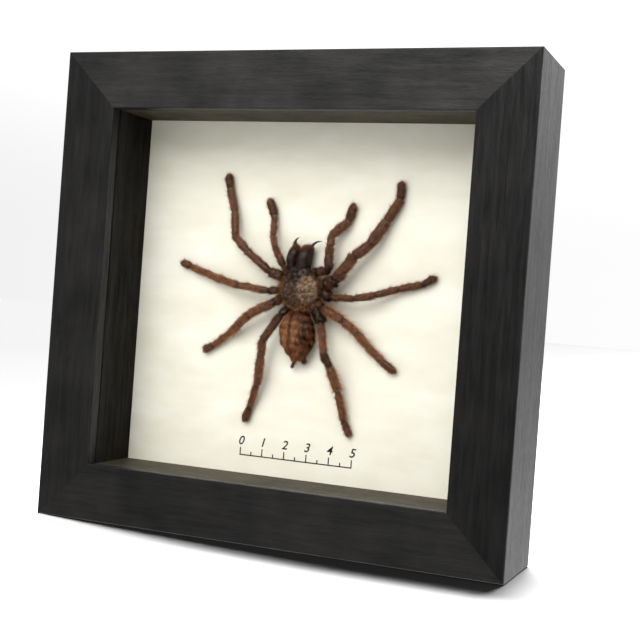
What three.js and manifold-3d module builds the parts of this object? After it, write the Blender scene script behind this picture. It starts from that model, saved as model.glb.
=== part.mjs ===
// A tarantula, dried with its legs spread, on a cream card in a deep glazed box frame.
// Millimetres. X runs to the right, Y away from the viewer and Z up. The origin is on the
// surface that the frame stands on, under the middle of the frame.

import * as THREE from "three";
import { mergeVertices } from "three/addons/utils/BufferGeometryUtils.js";
import Module from "manifold-3d";

const wasm = await Module();
wasm.setup();

// Box frame: four mitred rails of one moulding, with a rebate behind a lip.
const FRAME_WIDTH = 200;
const FRAME_HEIGHT = 194;
const RAIL_FACE = 23.2; // the moulding's width, seen from the front
const RAIL_DEPTH = 42;
const LIP_THICKNESS = 5; // the wood in front of the glass
const REBATE = 6.5; // how far the lip reaches over the glass
const ARRIS_RADIUS = 0.7; // the rounding that sanding leaves on the long edges
const ARRIS_STEPS = 3;
const MITRE_GAP = 0.03;
const FIT_GAP = 0.05; // between faces that lie against each other

// What the rebate holds, from the front to the back.
const GLASS_THICKNESS = 2;
const CARD_DEPTH = 33.3; // from the front of the frame to the face of the card
const CARD_THICKNESS = 1.5;
const BOARD_THICKNESS = 3;
const PANE_PLAY = 0.5; // what the glass, card and board are short of the rebate, each side
const SPACER_STEP = 0.2; // how far the spacers' faces lie back from the edge of the lip

// Steel points driven into the rebate, which hold the back board in.
const TAB = { length: 15, width: 8, thickness: 0.5, driven: 6 };
const TABS_PER_RAIL = [-1, 1];
const TAB_SPREAD = 0.24; // their distance from the rail's middle, as a share of its length

// Sawtooth hanger, nailed on the back of the top rail.
const HANGER = {
  width: 45,
  height: 8,
  thickness: 0.8,
  corner: 1,
  teeth: 9,
  toothPitch: 2.2,
  toothDepth: 1.4,
};
const NAIL = {
  shank: 0.6,
  head: 1.6,
  headThickness: 0.4,
  length: 9,
  point: 1.5,
  spacing: 37,
  sides: 10,
};

const BACK_PROUD = HANGER.thickness + NAIL.headThickness;
const FRONT = -(RAIL_DEPTH + BACK_PROUD) / 2;
const CARD_FACE = FRONT + CARD_DEPTH;
const REBATE_WIDTH = FRAME_WIDTH - 2 * (RAIL_FACE - REBATE);
const REBATE_HEIGHT = FRAME_HEIGHT - 2 * (RAIL_FACE - REBATE);
const BOARD_BACK = CARD_DEPTH + CARD_THICKNESS + FIT_GAP + BOARD_THICKNESS;
const TAB_FRONT = BOARD_BACK + FIT_GAP;

// Tarantula. Places on it are [x, z] from the middle of the card, and heights are from the
// card towards the viewer.
const BODY_GAP = 0.3; // the dried joint between one part of the body and the next
const CARAPACE = { x: 0.5, z: 4.6, height: 5, halfWidth: 8.7, halfLength: 8.9, halfThickness: 3.6 };
const HEAD = { x: -0.4, z: 10.4, height: 5.8, halfWidth: 4.6, halfLength: 4.4, halfThickness: 3.1 };
const PEDICEL = { x: 0.5, z: -3.4, height: 4.6, radius: 1.5, length: 3 };
const ABDOMEN = { x: 0.7, topZ: -5, height: 5.2, radius: 7.4, length: 19.8, flatness: 0.62, tilt: 3 };
const CHELICERA = { z: 13, length: 10.2, radius: 2.65, height: 4.8, thickness: 1.2 };
const CHELICERA_X = { left: -3.7, right: 1.9 };
const BODY_SIDES = 14;
const LIMB_SIDES = 8;

// Profiles: [share of the length from the near end, share of the widest radius].
const SEGMENT_PROFILE = [[-0.06, 0.5], [0.07, 0.86], [0.5, 1], [0.93, 0.82], [1.06, 0.42]];
const TARSUS_PROFILE = [[-0.05, 0.5], [0.1, 0.86], [0.5, 1], [0.82, 0.97], [1, 0.5]];
const HORN_PROFILE = [[-0.1, 0.8], [0, 1], [1, 0.72]];
const CHELICERA_PROFILE = [[0, 0.62], [0.2, 0.9], [0.5, 1], [0.78, 0.85], [1, 0.45]];
const ABDOMEN_PROFILE = [[0.02, 0.3], [0.12, 0.72], [0.3, 0.95], [0.5, 1], [0.7, 0.86], [0.88, 0.55],
  [1, 0.22]];

// Each limb leaves the body at root [x, z, height]. Its segments follow, from the body out:
// [length along the card, bearing in degrees from +X towards +Z, height of the far joint, radius].
const LIMBS = {
  leg_left_1: {
    root: [-6.9, 9.3, 5.5],
    segments: [[5.8, 163, 6.5, 1.7], [14.2, 144, 7, 1.8], [8.6, 137, 5.5, 1.6], [10.1, 101, 3.2, 1.6],
      [10.3, 109, 2.2, 1.5], [6.5, 103, 1.9, 1.5]],
  },
  leg_left_2: {
    root: [-8.2, 4, 5.5],
    segments: [[4.1, 188, 6.5, 1.6], [13.2, 174, 7.5, 1.6], [7.1, 169, 5.5, 1.5], [11, 166, 3, 1.5],
      [8.9, 163, 2, 1.3], [5.4, 159, 1.8, 1.4]],
  },
  leg_left_3: {
    root: [-7.1, 0.6, 5.5],
    segments: [[3, 217, 6.5, 1.6], [12.3, 207, 7.5, 1.6], [5.8, 219, 5.5, 1.6], [7.4, 220, 3, 1.5],
      [9.5, 217, 2, 1.4], [5.5, 208, 1.8, 1.4]],
  },
  leg_left_4: {
    root: [-4.1, -3.6, 5.5],
    segments: [[3, 232, 6.5, 1.5], [13.2, 238, 8.5, 1.6], [6.8, 263, 7, 1.6], [12.2, 261, 4.5, 1.8],
      [10.7, 250, 2.2, 1.5], [6.5, 248, 1.9, 1.6]],
  },
  leg_right_1: {
    root: [11.2, 9.2, 5.5],
    segments: [[5.2, 11, 6.5, 2], [12.1, 51, 7, 2.3], [7.9, 41, 5.5, 1.9], [11.1, 61, 3.2, 2.1],
      [10.2, 61, 2.3, 1.8], [7.1, 91, 2, 1.7]],
  },
  leg_right_2: {
    root: [10.4, 3.4, 5.5],
    segments: [[4.7, 343, 6.5, 1.6], [10.3, 2, 7.5, 1.6], [8.7, 12, 5.5, 1.5], [9, 21, 3, 1.5],
      [9.9, 14, 2, 1.4], [6.3, 31, 1.9, 1.6]],
  },
  leg_right_3: {
    root: [9.1, -0.4, 5.5],
    segments: [[3.1, 325, 6.5, 1.8], [10.4, 334, 7.5, 2], [7.4, 324, 5.5, 1.7], [6.3, 308, 3.2, 1.6],
      [8.7, 318, 2, 1.5], [7, 327, 1.9, 1.5]],
  },
  leg_right_4: {
    root: [7.2, -3.6, 5.5],
    segments: [[5.2, 303, 6.5, 1.7], [13.6, 289, 8.5, 1.8], [5.4, 295, 7, 1.6], [10.7, 290, 4.5, 1.9],
      [11.7, 282, 2.2, 1.6], [7, 294, 1.9, 1.5]],
  },
  palp_left: {
    root: [-5.4, 12, 5],
    segments: [[2.6, 135, 5.5, 1.3], [8, 119, 6, 1.4], [5.4, 113, 4.5, 1.3], [8.5, 96, 2.4, 1.4],
      [7.7, 113, 2, 1.6]],
  },
  palp_right: {
    root: [6.7, 14.1, 5],
    segments: [[5.9, 3, 5.5, 1.5], [8.7, 91, 6, 1.5], [4.9, 88, 4.5, 1.3], [8.5, 46, 2.4, 1.6],
      [7.3, 76, 2, 1.7]],
  },
};

// The fangs are short horns that hook round at the tip, and the spinnerets are tapered stubs.
const HORNS = {
  fang_left: {
    root: [-4.3, 22.8, 4.4],
    segments: [[1.7, 82, 4, 0.75], [1.2, 66, 3.6, 0.55], [1.1, 38, 3.3, 0.35]],
  },
  fang_right: {
    root: [3.2, 21.9, 4.4],
    segments: [[1.7, 62, 4, 0.75], [1.5, 40, 3.6, 0.55], [1.9, 12, 3.3, 0.35]],
  },
  spinneret_left: {
    root: [0.1, -22.8, 4],
    segments: [[2.6, 252, 3.4, 0.8], [3.2, 246, 2.6, 0.6]],
  },
  spinneret_right: {
    root: [3.3, -23, 4],
    segments: [[1.6, 288, 3.6, 1], [1.4, 286, 3.2, 0.7]],
  },
};

const blackWood = new THREE.MeshStandardMaterial({ color: 0x2b2b2a, roughness: 0.55, metalness: 0 });
const brownWood = new THREE.MeshStandardMaterial({ color: 0x4a443c, roughness: 0.7, metalness: 0 });
const glass = new THREE.MeshStandardMaterial({
  color: 0xf4fbf8,
  roughness: 0.02,
  metalness: 0,
  transparent: true,
  opacity: 0.15,
});
const creamCard = new THREE.MeshStandardMaterial({ color: 0xf3efdf, roughness: 0.9, metalness: 0 });
const fibreboard = new THREE.MeshStandardMaterial({ color: 0x8a6a47, roughness: 0.85, metalness: 0 });
const steel = new THREE.MeshStandardMaterial({ color: 0xb8babb, roughness: 0.35, metalness: 1 });
const brass = new THREE.MeshStandardMaterial({ color: 0xc0a468, roughness: 0.35, metalness: 1 });
const cuticle = new THREE.MeshStandardMaterial({ color: 0x5a3422, roughness: 0.75, metalness: 0 });
const darkCuticle = new THREE.MeshStandardMaterial({ color: 0x2a1a17, roughness: 0.5, metalness: 0 });
const abdomenSkin = new THREE.MeshStandardMaterial({ color: 0x7a4424, roughness: 0.8, metalness: 0 });
const fangHorn = new THREE.MeshStandardMaterial({ color: 0x0c0a0a, roughness: 0.2, metalness: 0 });

/** A closed geometry as a solid that can be joined and cut. */
function toSolid(geometry) {
  const bare = new THREE.BufferGeometry();
  bare.setAttribute("position", geometry.getAttribute("position").clone());
  bare.setIndex(geometry.getIndex());
  const merged = mergeVertices(bare, 1e-4);
  const index = merged.getIndex().array;
  const triVerts = [];
  for (let i = 0; i < index.length; i += 3) {
    const [a, b, c] = index.slice(i, i + 3);
    if (a !== b && b !== c && c !== a) triVerts.push(a, b, c);
  }
  const vertProperties = merged.getAttribute("position").array;
  return new wasm.Manifold(
    new wasm.Mesh({ numProp: 3, vertProperties, triVerts: new Uint32Array(triVerts) }),
  );
}

/** The geometry of a solid, for a mesh. */
function fromSolid(solid) {
  const { vertProperties, triVerts } = solid.getMesh();
  const geometry = new THREE.BufferGeometry();
  geometry.setAttribute("position", new THREE.BufferAttribute(vertProperties, 3));
  geometry.setIndex(new THREE.BufferAttribute(triVerts, 1));
  geometry.computeVertexNormals();
  return geometry;
}

function join(solids) {
  return solids.reduce((whole, piece) => whole.add(piece));
}

function cut(solid, tools) {
  return tools.reduce((rest, tool) => rest.subtract(tool), solid);
}

const model = new THREE.Group();

function addNode(name, geometry, material) {
  const mesh = new THREE.Mesh(geometry, material.clone());
  mesh.name = name;
  model.add(mesh);
}

function box(width, depth, height, x, y, z) {
  return new THREE.BoxGeometry(width, depth, height).translate(x, y, z);
}

// ---------------------------------------------------------------------------
// Frame

/** The moulding's section: x inwards from the outer side, y back from the front. */
function railSection() {
  const r = ARRIS_RADIUS;
  const wall = RAIL_FACE - REBATE;
  const section = new THREE.Shape();
  section.moveTo(0, r);
  section.absarc(r, r, r, Math.PI, 1.5 * Math.PI);
  section.absarc(RAIL_FACE - r / 2, r / 2, r / 2, 1.5 * Math.PI, 2 * Math.PI);
  section.lineTo(RAIL_FACE, LIP_THICKNESS);
  section.lineTo(wall, LIP_THICKNESS);
  section.lineTo(wall, RAIL_DEPTH);
  section.absarc(r, RAIL_DEPTH - r, r, 0.5 * Math.PI, Math.PI);
  return section;
}

/** A rail with a 45 degree mitre at both ends. x runs along it, y back and z inwards. */
function railGeometry(length) {
  const rail = new THREE.ExtrudeGeometry(railSection(), {
    depth: 1,
    bevelEnabled: false,
    curveSegments: ARRIS_STEPS,
  });
  const position = rail.getAttribute("position");
  for (let i = 0; i < position.count; i++) {
    const inwards = position.getX(i);
    const half = length / 2 - inwards - MITRE_GAP;
    position.setXYZ(i, position.getZ(i) > 0.5 ? -half : half, position.getY(i), inwards);
  }
  return rail;
}

/** A steel point on the rail, in the rail's own axes, bigger all round by grow. */
function tabGeometry(length, side, grow = 0) {
  const inwards = RAIL_FACE - REBATE - TAB.driven + TAB.length / 2;
  return box(
    TAB.width + 2 * grow,
    TAB.thickness + 2 * grow,
    TAB.length + 2 * grow,
    side * TAB_SPREAD * length,
    TAB_FRONT + TAB.thickness / 2,
    inwards,
  );
}

/** A nail along +Y, its point at y 0 and its head at the far end. */
function nailGeometry(grow = 0) {
  const neck = NAIL.length - NAIL.headThickness;
  const profile = [
    [0, -grow],
    [0.5 * NAIL.shank + grow, 0],
    [NAIL.shank + grow, NAIL.point],
    [NAIL.shank + grow, neck],
    [NAIL.head + grow, neck],
    [NAIL.head + grow, NAIL.length],
    [0, NAIL.length],
  ];
  return new THREE.LatheGeometry(
    profile.map(([radius, y]) => new THREE.Vector2(radius, y)),
    NAIL.sides,
  );
}

const NAIL_Y = FRONT + RAIL_DEPTH + BACK_PROUD - NAIL.length;
const HANGER_Z = FRAME_HEIGHT - (RAIL_FACE - REBATE) / 2;

/** One of the hanger's two nails in its place, bigger all round by grow. */
function placedNail(side, grow = 0) {
  return nailGeometry(grow).translate((side * NAIL.spacing) / 2, NAIL_Y, HANGER_Z);
}

const nailHoles = [-1, 1].map((side) => toSolid(placedNail(side, FIT_GAP)));

const RAILS = {
  bottom: { length: FRAME_WIDTH, turn: 0, x: 0, z: 0 },
  left: { length: FRAME_HEIGHT, turn: Math.PI / 2, x: -FRAME_WIDTH / 2, z: FRAME_HEIGHT / 2 },
  top: { length: FRAME_WIDTH, turn: Math.PI, x: 0, z: FRAME_HEIGHT },
  right: { length: FRAME_HEIGHT, turn: -Math.PI / 2, x: FRAME_WIDTH / 2, z: FRAME_HEIGHT / 2 },
};

for (const [name, rail] of Object.entries(RAILS)) {
  const place = new THREE.Matrix4().makeRotationY(rail.turn).setPosition(rail.x, FRONT, rail.z);
  const slots = TABS_PER_RAIL.map((side) => toSolid(tabGeometry(rail.length, side, FIT_GAP)));
  const wood = cut(toSolid(railGeometry(rail.length)), slots);
  const placed = toSolid(fromSolid(wood).applyMatrix4(place));
  addNode(`rail_${name}`, fromSolid(name === "top" ? cut(placed, nailHoles) : placed), blackWood);
  for (const side of TABS_PER_RAIL) {
    const tab = tabGeometry(rail.length, side).applyMatrix4(place);
    addNode(`tab_${name}_${side < 0 ? 1 : 2}`, tab, steel);
  }
}

// ---------------------------------------------------------------------------
// What the rebate holds

/** A sheet that fills the rebate, its front face at depth behind the front of the frame. */
function sheetGeometry(depth, thickness) {
  const width = REBATE_WIDTH - 2 * PANE_PLAY;
  const height = REBATE_HEIGHT - 2 * PANE_PLAY;
  return box(width, thickness, height, 0, FRONT + depth + thickness / 2, FRAME_HEIGHT / 2);
}

addNode("glass_pane", sheetGeometry(LIP_THICKNESS + FIT_GAP, GLASS_THICKNESS), glass);
addNode("mount_card", sheetGeometry(CARD_DEPTH, CARD_THICKNESS), creamCard);
addNode("back_board", sheetGeometry(BOARD_BACK - BOARD_THICKNESS, BOARD_THICKNESS), fibreboard);

const spacerFront = LIP_THICKNESS + GLASS_THICKNESS + 2 * FIT_GAP;
const spacerDepth = CARD_DEPTH - FIT_GAP - spacerFront;
const spacerY = FRONT + spacerFront + spacerDepth / 2;
const spacerThickness = REBATE - SPACER_STEP - FIT_GAP;
const spacerX = (REBATE_WIDTH - spacerThickness) / 2 - FIT_GAP;
const spacerRise = (REBATE_HEIGHT - spacerThickness) / 2 - FIT_GAP;
const sideSpacer = REBATE_HEIGHT - 2 * (spacerThickness + 2 * FIT_GAP);

for (const [name, side] of [["left", -1], ["right", 1]]) {
  const x = side * spacerX;
  const strip = box(spacerThickness, spacerDepth, sideSpacer, x, spacerY, FRAME_HEIGHT / 2);
  addNode(`spacer_${name}`, strip, brownWood);
}
for (const [name, side] of [["bottom", -1], ["top", 1]]) {
  const z = FRAME_HEIGHT / 2 + side * spacerRise;
  const strip = box(REBATE_WIDTH - 2 * FIT_GAP, spacerDepth, spacerThickness, 0, spacerY, z);
  addNode(`spacer_${name}`, strip, brownWood);
}

// ---------------------------------------------------------------------------
// Hanger

/** The plate's outline, with its row of teeth cut into the lower edge. */
function hangerOutline() {
  const halfWidth = HANGER.width / 2;
  const top = HANGER.height / 2;
  const corner = HANGER.corner;
  const teethHalf = (HANGER.teeth * HANGER.toothPitch) / 2;
  const outline = new THREE.Shape();
  outline.moveTo(halfWidth, top);
  outline.lineTo(-halfWidth, top);
  outline.absarc(-halfWidth + corner, -top + corner, corner, Math.PI, 1.5 * Math.PI);
  for (let i = 0; i < HANGER.teeth; i++) {
    const x = -teethHalf + i * HANGER.toothPitch;
    outline.lineTo(x, -top);
    outline.lineTo(x + HANGER.toothPitch / 2, -top + HANGER.toothDepth);
  }
  outline.lineTo(teethHalf, -top);
  outline.absarc(halfWidth - corner, -top + corner, corner, 1.5 * Math.PI, 2 * Math.PI);
  return outline;
}

const plate = new THREE.ExtrudeGeometry(hangerOutline(), {
  depth: HANGER.thickness - 2 * FIT_GAP,
  bevelEnabled: false,
  curveSegments: 4,
});
plate.rotateX(Math.PI / 2);
plate.translate(0, FRONT + RAIL_DEPTH + HANGER.thickness - FIT_GAP, HANGER_Z);
addNode("hanger_plate", fromSolid(cut(toSolid(plate), nailHoles)), brass);
for (const [name, side] of [["left", -1], ["right", 1]]) {
  addNode(`hanger_nail_${name}`, placedNail(side), steel);
}

// ---------------------------------------------------------------------------
// Tarantula

/** A place on or over the card. */
function onCard(x, z, height) {
  return new THREE.Vector3(x, CARD_FACE - height, FRAME_HEIGHT / 2 + z);
}

/** An ellipsoid lying on the card, bigger all round by grow. */
function ellipsoid({ x, z, height, halfWidth, halfLength, halfThickness }, grow = 0) {
  const ball = new THREE.SphereGeometry(1, BODY_SIDES, BODY_SIDES / 2);
  ball.scale(halfWidth + grow, halfThickness + grow, halfLength + grow);
  return ball.translate(...onCard(x, z, height));
}

/** A profile turned round +Y at its real length and radius, bigger round by grow. */
function turned(profile, length, radius, sides, grow = 0) {
  const points = profile.map(
    ([share, width]) => new THREE.Vector2(width * radius + grow, share * length),
  );
  points.unshift(new THREE.Vector2(0, points[0].y));
  points.push(new THREE.Vector2(0, points.at(-1).y));
  return new THREE.LatheGeometry(points, sides);
}

/** One segment of a limb, from joint to joint. */
function segmentGeometry(from, to, radius, profile) {
  const along = to.clone().sub(from);
  const segment = turned(profile, along.length(), radius, LIMB_SIDES);
  const yAxis = new THREE.Vector3(0, 1, 0);
  const turn = new THREE.Quaternion().setFromUnitVectors(yAxis, along.normalize());
  return segment.applyQuaternion(turn).translate(...from);
}

/** A whole limb as one solid: its segments, joined end to end. */
function limbSolid({ root, segments }, profileOf) {
  let from = onCard(...root);
  let [x, z] = root;
  const pieces = segments.map(([length, bearing, height, radius], i) => {
    x += length * Math.cos(THREE.MathUtils.degToRad(bearing));
    z += length * Math.sin(THREE.MathUtils.degToRad(bearing));
    const to = onCard(x, z, height);
    const piece = toSolid(segmentGeometry(from, to, radius, profileOf(i, segments.length)));
    from = to;
    return piece;
  });
  return join(pieces);
}

/** Carapace, raised head and pedicel, bigger all round by grow. */
function prosomaSolid(grow = 0) {
  const radius = PEDICEL.radius + grow;
  const neck = new THREE.CylinderGeometry(radius, radius, PEDICEL.length, LIMB_SIDES);
  neck.rotateX(Math.PI / 2).translate(...onCard(PEDICEL.x, PEDICEL.z, PEDICEL.height));
  return join([toSolid(ellipsoid(CARAPACE, grow)), toSolid(ellipsoid(HEAD, grow)), toSolid(neck)]);
}

/** The abdomen, an egg that narrows towards the spinnerets and has dried flatter. */
function abdomenSolid(grow = 0) {
  const { x, topZ, height, radius, length, flatness, tilt } = ABDOMEN;
  const egg = turned(ABDOMEN_PROFILE, length, radius, BODY_SIDES, grow);
  egg.rotateX(-Math.PI / 2);
  egg.scale(1, flatness, 1);
  egg.rotateY(THREE.MathUtils.degToRad(-tilt));
  return toSolid(egg.translate(...onCard(x, topZ, height)));
}

/** One chelicera, the stout base that carries a fang, bigger all round by grow. */
function cheliceraSolid(x, grow = 0) {
  const { z, length, radius, height, thickness } = CHELICERA;
  const bulb = turned(CHELICERA_PROFILE, length, radius, BODY_SIDES, grow);
  bulb.rotateX(Math.PI / 2);
  bulb.scale(1, thickness, 1);
  return toSolid(bulb.translate(...onCard(x, z, height)));
}

const prosomaRoom = prosomaSolid(BODY_GAP);
const abdomenRoom = abdomenSolid(BODY_GAP);
const cheliceraRooms = Object.values(CHELICERA_X).map((x) => cheliceraSolid(x, BODY_GAP));

addNode("prosoma", fromSolid(prosomaSolid()), darkCuticle);
addNode("abdomen", fromSolid(cut(abdomenSolid(), [prosomaRoom])), abdomenSkin);
for (const [side, x] of Object.entries(CHELICERA_X)) {
  addNode(`chelicera_${side}`, fromSolid(cut(cheliceraSolid(x), [prosomaRoom])), darkCuticle);
}
for (const [name, limb] of Object.entries(LIMBS)) {
  const profileOf = (i, count) => (i === count - 1 ? TARSUS_PROFILE : SEGMENT_PROFILE);
  const rooms = [prosomaRoom, abdomenRoom, ...cheliceraRooms];
  addNode(name, fromSolid(cut(limbSolid(limb, profileOf), rooms)), cuticle);
}
for (const [name, horn] of Object.entries(HORNS)) {
  const isFang = name.startsWith("fang");
  const solid = cut(limbSolid(horn, () => HORN_PROFILE), isFang ? cheliceraRooms : [abdomenRoom]);
  addNode(name, fromSolid(solid), isFang ? fangHorn : cuticle);
}

export default model;
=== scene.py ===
import math

import bpy
import numpy as np
from mathutils import Matrix, Vector


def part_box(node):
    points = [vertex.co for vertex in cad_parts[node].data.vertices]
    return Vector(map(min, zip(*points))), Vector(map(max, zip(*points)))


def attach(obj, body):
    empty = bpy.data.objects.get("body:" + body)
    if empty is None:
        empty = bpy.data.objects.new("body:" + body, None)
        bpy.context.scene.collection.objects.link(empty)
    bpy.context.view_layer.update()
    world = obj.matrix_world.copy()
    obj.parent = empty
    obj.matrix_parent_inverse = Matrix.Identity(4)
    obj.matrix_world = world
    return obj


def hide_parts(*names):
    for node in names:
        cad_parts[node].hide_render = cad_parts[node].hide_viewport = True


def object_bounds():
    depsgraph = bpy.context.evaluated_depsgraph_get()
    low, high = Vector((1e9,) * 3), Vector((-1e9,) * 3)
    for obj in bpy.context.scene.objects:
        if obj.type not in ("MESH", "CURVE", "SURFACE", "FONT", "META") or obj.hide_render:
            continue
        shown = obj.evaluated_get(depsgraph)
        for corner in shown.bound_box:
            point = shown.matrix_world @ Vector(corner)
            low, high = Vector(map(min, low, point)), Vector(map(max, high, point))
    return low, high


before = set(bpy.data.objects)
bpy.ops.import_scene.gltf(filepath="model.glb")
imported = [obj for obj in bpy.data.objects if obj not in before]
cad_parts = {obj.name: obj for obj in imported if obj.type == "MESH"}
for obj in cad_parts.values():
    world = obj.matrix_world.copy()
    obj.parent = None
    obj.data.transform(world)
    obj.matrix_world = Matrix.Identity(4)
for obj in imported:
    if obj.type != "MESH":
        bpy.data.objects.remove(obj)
cad_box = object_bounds()
bpy.ops.object.select_all(action="DESELECT")

MM = 0.001

# ---------------------------------------------------------------------------
# Sizes and places, in millimetres. Places on the spider are [x, z] from the middle of the card,
# and heights are from the card towards the viewer, as in the construction model.

card_low, card_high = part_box("mount_card")
CARD_FACE = card_low.y / MM
CARD_MIDDLE = (card_low.z + card_high.z) / 2 / MM

CARAPACE = {"x": 0.8, "z": 4.6, "height": 5, "half_width": 9.1, "half_length": 8.7, "half_thickness": 3.4}
HEAD = {"x": 0.6, "z": 10, "height": 5.9, "half_width": 5.2, "half_length": 4.3, "half_thickness": 3.0}
PEDICEL = {"x": 0.5, "top": -1, "bottom": -5.6, "height": 4.6, "radius": 1.5}
FOVEA = (1.0, 3.2)
BALD_PATCH = {"x": 5.0, "z": 4.7, "half_width": 4.9, "half_length": 5.4}
EYES = {"x": 0.1, "z": 12.1, "height": 8.75}
ABDOMEN = {"x": 0.1, "top": -4.5, "height": 5.2, "radius": 7.4, "length": 20.1, "flatness": 0.6, "tilt": 6}
# The outlines of the jaws, from the head to the fang: [z, left edge, right edge].
CHELICERAE = {
    "left": [[10.2, -4.9, -2.0], [11.2, -5.3, -1.9], [13.9, -5.7, -1.75], [16.7, -5.95, -1.3],
             [19, -5.4, -0.8], [20.6, -4.8, -0.6], [21.3, -4.5, -1.1], [22, -4.2, -1.9],
             [22.8, -3.9, -2.6], [23.4, -3.6, -3.0]],
    "right": [[10.2, -1.9, 2.8], [11.2, -1.9, 3.5], [13.9, -1.7, 4.1], [16.7, -1.2, 4.6],
              [19, -0.7, 5.0], [20.3, -0.3, 5.15], [20.9, 0.5, 5.2], [21.4, 1.5, 5.2],
              [21.9, 2.7, 5.1], [22.3, 3.8, 4.8]],
}
CHELICERA_HEIGHT = 4.9
CHELICERA_THICKNESS = 1.25  # depth to width
# A jaw arches, so it falls away at both ends: [how far, from this share of its length, to this].
CHELICERA_FALLS = [[1.2, 0.6, 1.0], [0.84, 0.55, 0.0]]

# Each limb is its hip [x, z, height, radius], which lies under the shield's rim, its root
# [x, z, height], where it comes out, and then its segments, from the body out:
# [length along the card, bearing in degrees from +X towards +Z, height of the far joint, radius].
LIMBS = {
    "leg_left_1": [[-3.8, 6.8, 4.6, 2.2], [-6.9, 9.3, 5.5],
                   [5.8, 163, 6.5, 2.1], [14.2, 144, 7, 1.5], [8.6, 137, 5.5, 1.55],
                   [10.1, 101, 3.2, 1.5], [10.3, 109, 2.2, 1.5], [6.5, 103, 1.9, 1.45]],
    "leg_left_2": [[-4.5, 4.2, 4.6, 2.2], [-8.2, 3.7, 5.5],
                   [4.1, 188, 6.5, 1.6], [13.2, 174, 7.5, 1.5], [7.1, 169, 5.5, 1.5],
                   [11, 166, 3, 1.5], [8.9, 163, 2, 1.3], [5.4, 159, 1.8, 1.3]],
    "leg_left_3": [[-4, 2.2, 4.6, 2.2], [-7.1, 0.4, 5.5],
                   [3, 217, 6.5, 1.8], [12.3, 208, 7.5, 1.8], [5.8, 219, 5.5, 1.75],
                   [7.4, 220, 3, 1.65], [9.5, 217, 2, 1.25], [5.5, 208, 1.8, 1.4]],
    "leg_left_4": [[-2.2, -0.4, 4.4, 2.1], [-4.1, -3.6, 5.5],
                   [3, 232, 6.5, 1.5], [13.2, 238, 8.5, 1.6], [6.8, 263, 7, 1.65],
                   [12.2, 261, 4.5, 1.65], [10.7, 250, 2.2, 1.35], [6.5, 248, 1.9, 1.35]],
    "leg_right_1": [[6.4, 5.6, 3.4, 2.0], [12.1, 7.4, 5.5],
                    [4.6, 20, 6.5, 2.6], [12.7, 53.5, 7, 2.15], [7.9, 41, 5.5, 2.0],
                    [11.1, 61, 3.2, 2.1], [10.2, 61, 2.3, 1.8], [7.1, 91, 2, 1.55]],
    "leg_right_2": [[6, 3.4, 3.2, 1.9], [11, 4, 5.0],
                    [4.5, 333, 6.5, 2.1], [10.3, 2, 7.5, 1.3], [8.7, 12, 5.5, 1.45],
                    [9, 21, 3, 1.3], [9.9, 14, 2, 1.35], [6.3, 31, 1.9, 1.25]],
    "leg_right_3": [[5.6, 1.4, 3.4, 1.9], [9.1, -0.4, 5.5],
                    [3.1, 325, 6.5, 1.8], [10.4, 334, 7.5, 1.8], [7.4, 322, 5.5, 1.6],
                    [6.3, 308, 3.2, 1.5], [8.7, 319, 2, 1.45], [7, 327, 1.9, 1.35]],
    "leg_right_4": [[4.4, 0, 4.4, 2.3], [9.1, -3.2, 5.5],
                    [5.6, 296, 6.5, 2.5], [12.8, 283, 8.5, 1.5], [5.4, 295, 7, 1.6],
                    [10.7, 290, 4.5, 1.7], [11.7, 282, 2.2, 1.35], [7, 294, 1.9, 1.25]],
    "palp_left": [[-3.4, 9.4, 4.2, 1.7], [-5.4, 12, 5],
                  [2.6, 135, 5.5, 1.3], [8, 119, 6, 1.4], [5.4, 113, 4.5, 1.25],
                  [8.5, 96, 2.4, 1.25], [7.7, 113, 2, 1.5]],
    "palp_right": [[4.4, 9.8, 4.4, 1.9], [7.6, 12.3, 5],
                   [5.4, 8, 5.5, 1.7], [9.5, 91, 6, 1.7], [4.9, 88, 4.5, 1.5],
                   [8.5, 46, 2.4, 1.75], [7.3, 76, 2, 1.5]],
}
# The spinnerets are tapered fingers, and the fangs are horns that hook round at the tip. They are
# given as the limbs are, but have no hip.
SPINNERETS = {
    "spinneret_left": [None, [1.0, -23, 4], [2.4, 246, 3.4, 0.85], [2.9, 241, 2.6, 0.62]],
    "spinneret_right": [None, [3.4, -22.6, 4], [1.6, 290, 3.6, 1.35], [1.5, 292, 3.2, 1.0]],
}
FANGS = {
    "fang_left": [None, [-3.4, 23.2, 4.4], [1.5, 78, 4, 0.7], [1.1, 60, 3.6, 0.7], [1.0, 30, 3.3, 0.7]],
    "fang_right": [None, [3.9, 21.3, 4.6], [2.3, 64, 4.2, 0.8], [1.8, 40, 3.7, 0.8], [2.2, 10, 3.3, 0.8]],
}

# Widths along one segment: [share of its length from the body's side, share of its radius].
SEGMENT_WIDTHS = [(0, 0.72), (0.03, 0.78), (0.09, 0.92), (0.2, 1), (0.4, 1), (0.65, 0.95), (0.88, 0.92),
                  (0.95, 0.98), (0.98, 0.9), (1, 0.72)]
HIP_WIDTHS = [(0, 0.9), (0.5, 1), (0.92, 1), (0.97, 0.92), (1, 0.84)]
TARSUS_WIDTHS = [(0, 0.62), (0.05, 0.8), (0.2, 0.98), (0.5, 1.05), (0.78, 1.05), (0.9, 0.86), (0.97, 0.55),
                 (1, 0.2)]
# Segments that are darker than the rest of their limb, with how much.
DARK_SEGMENTS = {
    "leg_left_1": {2: 0.12},
    "leg_left_4": {1: 0.2, 2: 0.3},
    "leg_right_1": {2: 0.08},
    "leg_right_2": {1: 0.2, 2: 0.15},
    "leg_right_4": {1: 0.4, 3: 0.55},
    "palp_left": {2: 0.2},
    "palp_right": {2: 0.2},
}
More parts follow.
